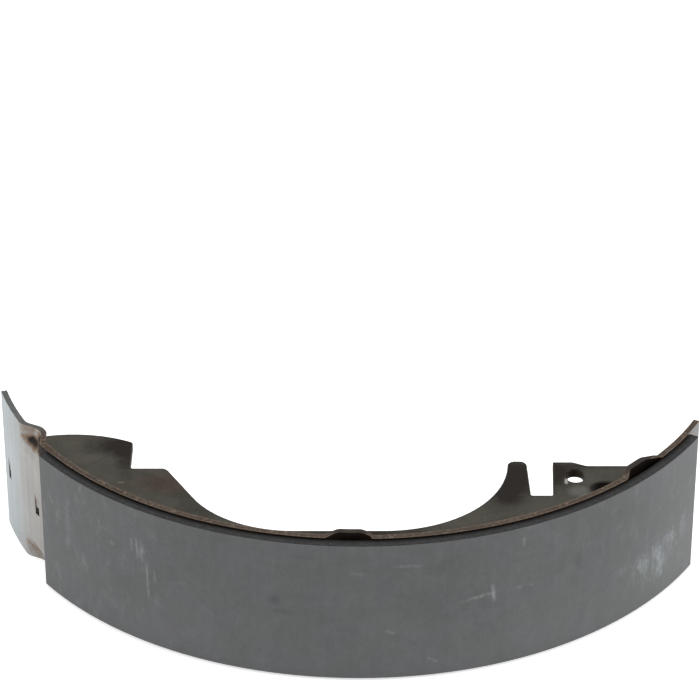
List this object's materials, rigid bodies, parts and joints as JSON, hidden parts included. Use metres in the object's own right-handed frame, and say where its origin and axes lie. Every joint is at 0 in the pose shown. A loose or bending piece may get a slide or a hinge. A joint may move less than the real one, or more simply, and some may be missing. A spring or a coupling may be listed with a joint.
{
  "type": "brake shoe",
  "caption": "Drum brake shoe: a curved steel rim with a bonded friction lining and a flat stamped web with a step, slots and a pivot hole.",
  "frame": {"origin": "under the middle of the shoe, on the plane of the rim's lower edge that it stands on", "axes": "+Z along the drum axis, -Y the lined side of the shoe, +X towards the heel end with the pivot hole"},
  "size_m": [0.2298, 0.1034, 0.0514],
  "materials": {
    "rim_steel": "thin dark brown lacquer inside, dull bare grey steel with light rust outside",
    "web_steel": "thin olive brown lacquer, darker near the edges",
    "friction_material": "dull ground grey with fine scuffs"
  },
  "bodies": {
    "root": {"rim": "rim_steel", "web": "web_steel", "friction_lining": "friction_material"}
  },
  "joints": []
}
